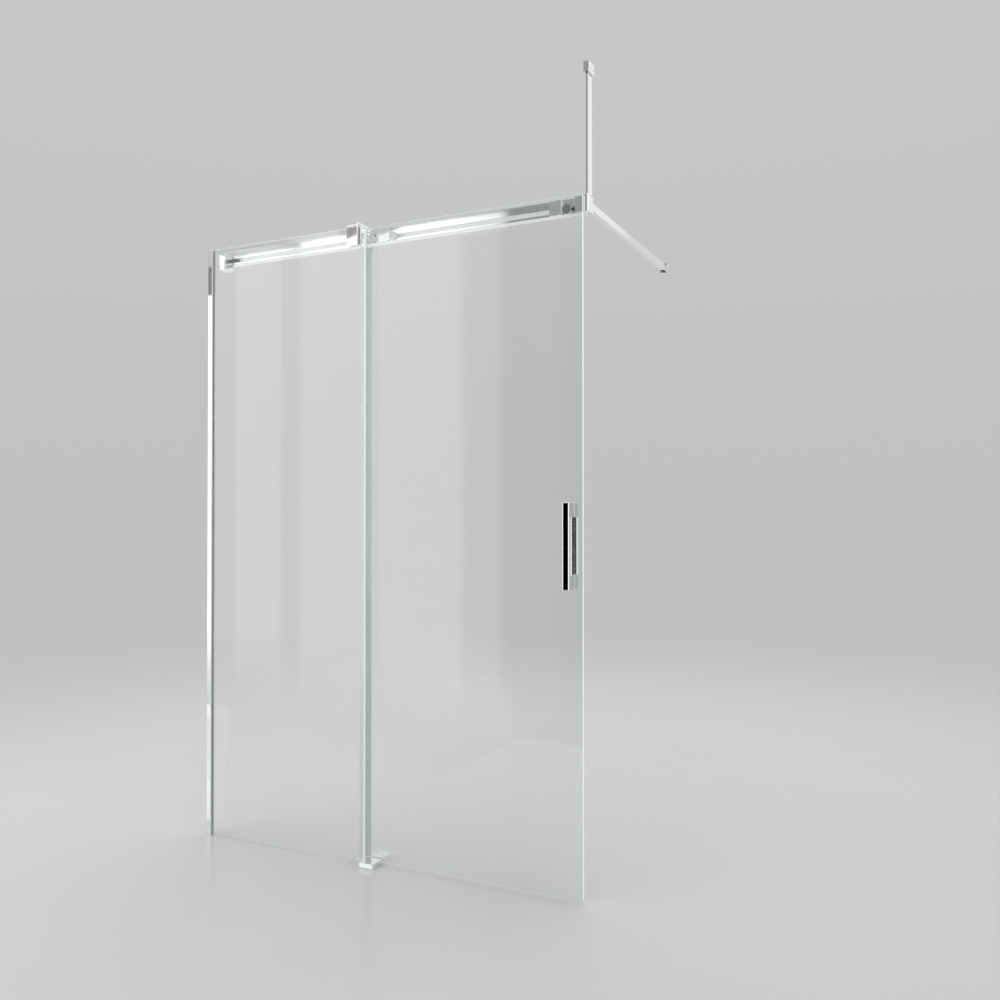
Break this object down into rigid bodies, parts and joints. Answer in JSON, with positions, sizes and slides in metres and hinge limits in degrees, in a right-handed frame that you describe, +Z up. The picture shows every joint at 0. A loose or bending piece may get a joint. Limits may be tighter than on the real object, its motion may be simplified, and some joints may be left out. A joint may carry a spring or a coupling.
{
  "type": "walk-in shower screen",
  "caption": "Walk-in shower screen: fixed glass on a wall profile, sliding glass door hung on a slotted rail, ceiling post, return bar, bar handle and floor guide.",
  "frame": {"origin": "on the wall and the floor, at the outer face of the fixed glass: the lower end of the wall profile's back", "axes": "+X from the wall along the screen, +Y into the shower, +Z up"},
  "size_m": [1.3737, 0.87, 2.385],
  "materials": {
    "chrome": "polished chrome plate",
    "bright_rail": "bright polished anodised aluminium",
    "steel": "plain stainless steel",
    "glass": "clear toughened glass with polished edges",
    "clear_seal": "clear flexible PVC",
    "black_rubber": "matt black rubber",
    "black_plastic": "moulded black acetal",
    "white_nylon": "moulded white nylon or acetal"
  },
  "bodies": {
    "screen": {"wall_profile": "chrome", "profile_cap": "chrome", "profile_gaskets": "clear_seal", "fixed_glass": "glass", "rail_bracket_plate": "steel", "rail_bracket_body": "chrome", "rail_bracket_grubs": "steel", "rail": "bright_rail", "rail_stop_left": "black_plastic", "rail_stop_right": "black_plastic", "rail_bumpers": "black_rubber", "rail_stop_screws": "steel", "clamp_body": "chrome", "clamp_rear_jaw": "chrome", "clamp_gaskets": "clear_seal", "clamp_glass_screw": "steel", "clamp_foot_screws": "steel", "clamp_nut_plate": "steel", "end_block": "chrome", "end_block_grubs": "steel", "post_stud": "steel", "ceiling_post": "chrome", "ceiling_sleeve": "chrome", "ceiling_anchor": "steel", "ceiling_grubs": "steel", "return_bar": "chrome", "return_bar_grub": "steel", "wall_sleeve": "chrome", "wall_anchor": "steel", "wall_sleeve_grubs": "steel", "guide_base": "chrome", "guide_front_block": "chrome", "guide_rear_jaw": "chrome", "guide_liner": "white_nylon", "guide_screws": "steel"},
    "door": {"door_glass": "glass", "door_seal": "clear_seal", "carriage_left_block": "chrome", "carriage_right_block": "chrome", "carriage_left_hanger": "chrome", "carriage_right_hanger": "chrome", "carriage_pads": "clear_seal", "carriage_caps": "chrome", "adjusting_screws": "chrome", "lock_screws": "chrome", "roller_axles": "steel", "axle_spacers": "steel", "handle_outer": "chrome", "handle_inner": "chrome", "handle_washers": "clear_seal", "handle_studs": "steel", "handle_bushings": "white_nylon"},
    "roller_1": {"roller_tyre_1": "white_nylon", "roller_bearing_1": "steel"},
    "roller_2": {"roller_tyre_2": "white_nylon", "roller_bearing_2": "steel"},
    "roller_3": {"roller_tyre_3": "white_nylon", "roller_bearing_3": "steel"},
    "roller_4": {"roller_tyre_4": "white_nylon", "roller_bearing_4": "steel"}
  },
  "joints": [
    {"name": "door_slide", "type": "slide", "parent": "screen", "child": "door", "axis": [-1, 0, 0], "range_m": [0, 0.585]},
    {"name": "roller_1_spin", "type": "hinge", "parent": "door", "child": "roller_1", "pos_m": [0.6725, 0.06, 1.97], "axis": [0, -1, 0], "continuous": true},
    {"name": "roller_2_spin", "type": "hinge", "parent": "door", "child": "roller_2", "pos_m": [0.7155, 0.06, 1.97], "axis": [0, -1, 0], "continuous": true},
    {"name": "roller_3_spin", "type": "hinge", "parent": "door", "child": "roller_3", "pos_m": [1.262, 0.06, 1.97], "axis": [0, -1, 0], "continuous": true},
    {"name": "roller_4_spin", "type": "hinge", "parent": "door", "child": "roller_4", "pos_m": [1.305, 0.06, 1.97], "axis": [0, -1, 0], "continuous": true}
  ],
  "couplings": [
    {"joint": "roller_1_spin", "follows": "door_slide", "rad_per_m": 102.56},
    {"joint": "roller_2_spin", "follows": "door_slide", "rad_per_m": 102.56},
    {"joint": "roller_3_spin", "follows": "door_slide", "rad_per_m": 102.56},
    {"joint": "roller_4_spin", "follows": "door_slide", "rad_per_m": 102.56}
  ]
}
